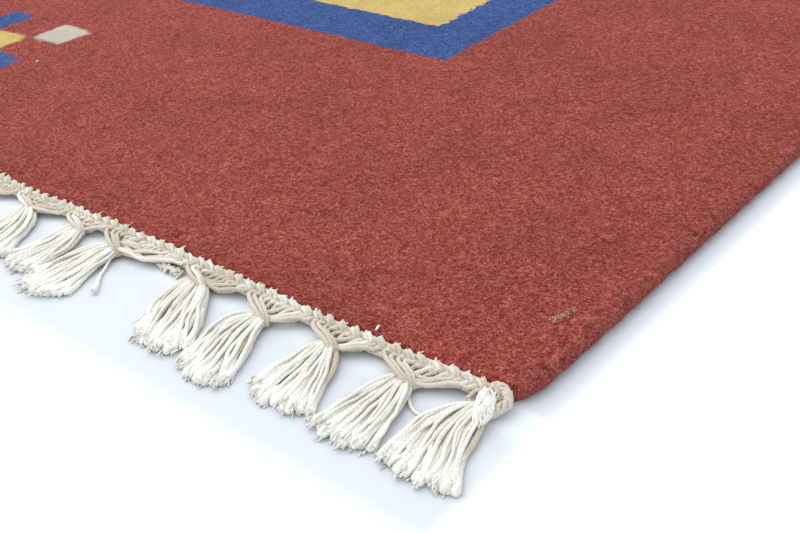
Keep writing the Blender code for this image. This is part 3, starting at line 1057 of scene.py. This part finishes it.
def corner_rope(yarns, rng):
    """Four thick plies twisted together, turning the corner."""
    line = smooth_line([CORNER_ROPE], ROPE_SECTIONS)[0]
    ahead = unit(np.gradient(line, axis=0))
    beside = unit(np.cross(ahead, [0.0, 0.0, 1.0]))
    above = np.cross(beside, ahead)
    run = np.linspace(0.0, 1.0, ROPE_SECTIONS)[:, None]
    for turn, girth in ROPE_PLIES:
        twist = turn + run * TAU * ROPE_TURNS + 1.3 * np.sin(run * 13.0)
        swing = 0.95 + 0.35 * np.sin(run * 23.0 + turn)
        ply = line + (beside * np.cos(twist) + above * np.sin(twist)) * swing
        ply[:, 2] = np.maximum(ply[:, 2], girth)
        radii = girth * (1.0 + rng.normal(0.0, 0.14, ROPE_SECTIONS))
        yarns.add(placed(ply[None]), radii[None] * MM, 0.80, 6, 0.16)


def specks(yarns, rng):
    """Cream lint caught in the nap: a dashed streak by the selvedge and a few single tips."""
    share = rng.uniform(0.0, 1.0, LINT_SPECKS)
    along = 16.3 - 2.3 * share + rng.normal(0.0, 0.80, LINT_SPECKS)
    spot = stacked(along, -35.9 - 11.0 * share, rng.uniform(4.80, 5.25, LINT_SPECKS))
    heading = headings(rng, LINT_SPECKS, (1.0, 1.0, 0.15), (0.1, -0.6, 0.0))
    lines = strokes(spot, heading * 0.8, (0.0, 0.0, 0.25))
    tones = rng.uniform(0.9, 1.0, (LINT_SPECKS, 1))
    yarns.add(placed(lines), np.array([[0.05, 0.085, 0.04]]) * MM, tones, 4)
    for along, inward, turn, half, girth, tone in SINGLE_SPECKS:
        way = np.array([math.sin(turn), -math.cos(turn), 0.0])
        spot = np.array([along, -inward, 5.05])
        line = np.stack([spot - way * half - (0.0, 0.0, 0.2), spot, spot + way * half])
        yarns.add(placed(line[None]), np.array([[0.5, 1.0, 0.4]]) * girth * MM, tone, 6)


def tassels(rows, seed):
    """Fanned strands from each knot in two layers, opening into soft tufts."""
    yarns = Yarns(seed + 1)
    rng = np.random.default_rng(seed + 1)
    ends_at, ends_way, ends_size = [], [], []
    t = np.array(STRAND_STEPS)
    swell = np.interp(t, *np.array(STRAND_SWELL).T)
    rough = np.interp(t, (0.0, 0.75, 0.9, 1.0), (0.05, 0.06, 0.13, 0.18))
    whiten = np.clip((t - 0.52) / 0.36, 0.0, 1.0)
    settle = np.minimum(t * 3.0, 1.0)
    for row in rows:
        knot_a, knot_o = row["knot_in"] / MM, row["knot_out"] / MM
        tip_a, tip_o, half = row["tip_in"] / MM, row["tip_out"] / MM, row["tip_half"] / MM
        power = row["fan"]
        fan = ((t + 0.02) ** power - 0.02**power) / (1.02**power - 0.02**power)
        for layer in (LOWER_STRANDS, UPPER_STRANDS):
            count = round(half * 0.8) + 2 + layer["more"]
            paths, tones, radii = [], [], []
            for n in range(count):
                spread = (n + 0.5) / count * 2.0 - 1.0 + rng.uniform(-0.07, 0.07)
                landing = np.clip(spread + rng.normal(0.0, layer["stray"]), -1.0, 1.0)
                reach = tip_o - 1.2 - rng.uniform(0.0, 3.0) - row["drop"] * abs(landing) ** 2.2
                first = knot_o + layer["start"]
                centre = knot_a - 0.9 + (tip_a - knot_a + 0.9) * t**1.25
                centre = centre + row["bow"] * np.sin(math.pi * t) * (1.0 - t)
                neck = spread * 1.5 + rng.uniform(-0.3, 0.3)
                fanned = (half - 1.2) * (spread + (landing - spread) * t) * fan
                along = centre + neck * (1.0 - t) ** 2 + fanned
                phase = rng.uniform(0.0, TAU, 4)
                wave = rng.uniform(0.3, 1.15) * np.sin(t * rng.uniform(3.5, 9.0) + phase[0])
                wave += rng.uniform(0.1, 0.32) * np.sin(t * rng.uniform(15.0, 24.0) + phase[1])
                along = along + wave * settle
                out = first + (reach - first) * t + 0.3 * np.sin(t * 9.0 + phase[2]) * settle
                rest = layer["rest"] + rng.uniform(-0.10, 0.28)
                high = layer["high"] + rng.uniform(0.0, 0.8)
                height = rest + (high - rest) * (1.0 - t) ** 1.8
                height += layer["arch"] * np.sin(math.pi * t) * rng.uniform(0.2, 1.2)
                height -= layer["sink"] * np.clip((t - 0.75) / 0.25, 0.0, 1.0)
                paths.append(stacked(along, out, np.maximum(height, STRAND_LOW)))
                # The lower layer's deeper tone is painted shade between the upper strands.
                tone = np.clip(rng.normal(layer["tone"], 0.15), 0.10, 1.0)
                tones.append(tone * (1.0 - layer["whiten"] * whiten))
                radii.append(layer["yarn"] * rng.uniform(0.88, 1.26) * swell)
            paths, radii, tones = np.array(paths), np.array(radii), np.array(tones)
            radii = radii * (1.0 + rng.normal(0.0, 0.05, radii.shape))
            yarns.add(placed(paths), radii * MM, tones, layer["sides"], rough, STRAND_FLAT)
            ends_at.append(paths[:, -1])
            ends_way.append(unit(paths[:, -1] - paths[:, -4]))
            ends_size.append(radii[:, -3])
    ends = (np.concatenate(group) for group in (ends_at, ends_way, ends_size))
    frayed(yarns, rng, *ends, FRAYS)
    return yarns


def frayed(yarns, rng, at, way, size, each):
    """Loose cotton fibres at cut strand ends, lying nearly along the strand."""
    total = len(at) * each
    at, way, size = (np.repeat(values, each, axis=0) for values in (at, way, size))
    offset = rng.normal(0.0, 0.60, (total, 3)) * size[:, None]
    length = rng.uniform(0.4, 1.15, total)[:, None]
    aim = unit(way + rng.normal(0.0, 0.26, (total, 3)))
    bend = rng.normal(0.0, 0.30, (total, 3))
    back = way * rng.uniform(0.8, 3.0, total)[:, None]
    p0 = at + offset * 0.8 - back
    p1 = at + offset + aim * length * 0.3
    p2 = p1 + unit(aim + bend) * length * 0.7
    points = np.stack([p0, p1, p2], axis=1)
    points[..., 2] = np.maximum(points[..., 2], 0.40)
    widths = np.array([0.38, 0.40, 0.12])[None] * rng.uniform(0.7, 1.3, (total, 1)) * MM
    yarns.add(placed(points), widths, 0.0, 3)


# ---------------------------------------------------------------- loose wool


def hairs(name, rng, starts, kind, material, lean=None):
    """Loose wool hairs, each a short bent closed tube."""
    yarns = Yarns(3)
    count = len(starts)
    length, lift, radius = kind
    heading = rng.uniform(0.0, TAU, count) if lean is None else lean
    size = rng.uniform(*length, count)
    curl = rng.normal(0.0, 1.1, count)
    points = [starts]
    for k in range(2):
        turn = heading + curl * k
        step = stacked(np.cos(turn), np.sin(turn), 0.0) * size[:, None] / 2.0
        step[:, 2] = lift * (1.0, -0.35)[k] * rng.uniform(0.4, 1.3, count)
        points.append(points[-1] + step)
    points = np.stack(points, axis=1)
    points[..., 2] = np.maximum(points[..., 2], 0.0003)
    widths = np.array([0.8, 1.0, 0.45])[None] * radius * rng.uniform(0.75, 1.3, (count, 1))
    yarns.add(points, widths, rng.beta(1.6, 2.2, (count, 1)), 3)
    return yarns.piece(name, material)


def hair_rows(rng):
    return rng.uniform(-HALF_LENGTH + HAIR_INSET, HALF_LENGTH - HAIR_INSET, HAIR_COUNT)


def nap_hairs(material):
    """Hairs that stand off the weave's face."""
    rng = np.random.default_rng(41)
    x = rng.uniform(-HALF_WIDTH + 0.006, HALF_WIDTH - 0.006, HAIR_COUNT)
    y = hair_rows(rng)
    starts = stacked(x, y, face_height(x, y) - 0.0003)
    return hairs("nap_hairs", rng, starts, NAP_HAIR, material)


def selvedge_hairs(material):
    """Hairs that stand off both selvedge rolls, most of them off the outer side."""
    rng = np.random.default_rng(43)
    count = HAIR_COUNT
    side = np.where(rng.uniform(size=count) < 0.5, -1.0, 1.0)
    y = hair_rows(rng)
    edge = np.array([HALF_WIDTH - edge_offset(v, int(s)) for v, s in zip(y, side)])
    outer = rng.uniform(size=count) < 0.6
    low = rng.uniform(-0.3, 1.0, count)
    high = rng.uniform(1.0, 2.7, count)
    angle = np.where(outer, low, high)
    x = side * (edge - ROLL_HALF_WIDTH + ROLL_HALF_WIDTH * np.cos(angle) * 0.97)
    z = ROLL_HALF_HEIGHT + ROLL_HALF_HEIGHT * np.sin(angle) * 0.97
    starts = stacked(x, y, z)
    turn = rng.choice([-1.0, 1.0], count) * rng.uniform(0.3, 1.9, count)
    lean = np.where(side > 0, 0.0, math.pi) + turn
    return hairs("selvedge_hairs", rng, starts, SELVEDGE_HAIR, material, lean)


# ---------------------------------------------------------------- scene


def build():
    """The rug: its weave, selvedges and hairs, and the plait and tassels at each end."""
    wool = wool_material("wool", False)
    edge_wool = wool_material("edge_wool", False, SELVEDGE_HAZE)
    loose_wool = wool_material("loose_wool", True)
    cotton = cotton_material("cotton")
    weave = woven_field(wool)
    pieces = [
        selvedge("selvedge_right", 1, edge_wool),
        selvedge("selvedge_left", -1, edge_wool),
        nap_hairs(loose_wool),
        selvedge_hairs(loose_wool),
    ]
    for piece in (weave, *pieces):
        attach(piece, "root")
    for piece in (weave, *pieces[:2]):
        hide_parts("kilim_field")
    for label, seed, known, turned in (
        ("front", FRONT_SEED, CORNER_TASSELS, False),
        ("back", BACK_SEED, CORNER_TASSELS[:1], True),
    ):
        rows = tassel_rows(seed, known)
        for kind, made in (
            ("plait", plait(rows, seed, not turned)),
            ("tassels", tassels(rows, seed)),
        ):
            piece = made.piece(f"{kind}_{label}", cotton, turned)
            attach(piece, "root")
            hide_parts(f"fringe_{label}")
            pieces.append(piece)


def floor():
    """The plain floor the rug lies on."""
    spots = [(-FLOOR_HALF, -FLOOR_HALF), (FLOOR_HALF, -FLOOR_HALF)]
    spots += [(FLOOR_HALF, FLOOR_HALF), (-FLOOR_HALF, FLOOR_HALF)]
    corners = np.array([(x, y, 0.0) for x, y in spots])
    made = new_mesh("floor", corners, [np.array([[0, 1, 2, 3]])], floor_material())


def set_up(name, data, place, turn):
    """Put a light or a camera in the scene."""
    made = bpy.data.objects.new(name, data)
    made.location = place
    made.rotation_mode = "QUATERNION"
    made.rotation_quaternion = turn
    bpy.context.scene.collection.objects.link(made)
    return made


def studio():
    """An even pale sky and one broad soft lamp."""
    scene = bpy.context.scene
    world = bpy.data.worlds.new("studio")
    world.use_nodes = True
    sky = world.node_tree.nodes["Background"]
    sky.inputs["Color"].default_value = SKY_COLOUR
    sky.inputs["Strength"].default_value = SKY_STRENGTH
    scene.world = world
    light = bpy.data.lights.new("key", "AREA")
    light.shape = "DISK"
    light.size = KEY_SIZE
    light.energy = KEY_POWER
    light.color = KEY_COLOUR
    set_up("key", light, KEY_PLACE, (KEY_AIM - KEY_PLACE).to_track_quat("-Z", "Y"))
    scene.view_settings.view_transform = "Standard"
    scene.view_settings.look = "None"
    scene.view_settings.exposure = 0.0


def camera():
    """The camera, low over the front right corner."""
    data = bpy.data.cameras.new("camera")
    data.lens = CAMERA_LENS
    data.sensor_width = 36.0
    data.clip_start = 0.01
    data.clip_end = 50.0
    back = CAMERA_RIGHT.cross(CAMERA_UP)
    turn = Matrix((CAMERA_RIGHT, CAMERA_UP, back)).transposed()
    bpy.context.scene.camera = set_up("camera", data, CAMERA_PLACE, turn.to_quaternion())


build()
floor()
studio()
camera()
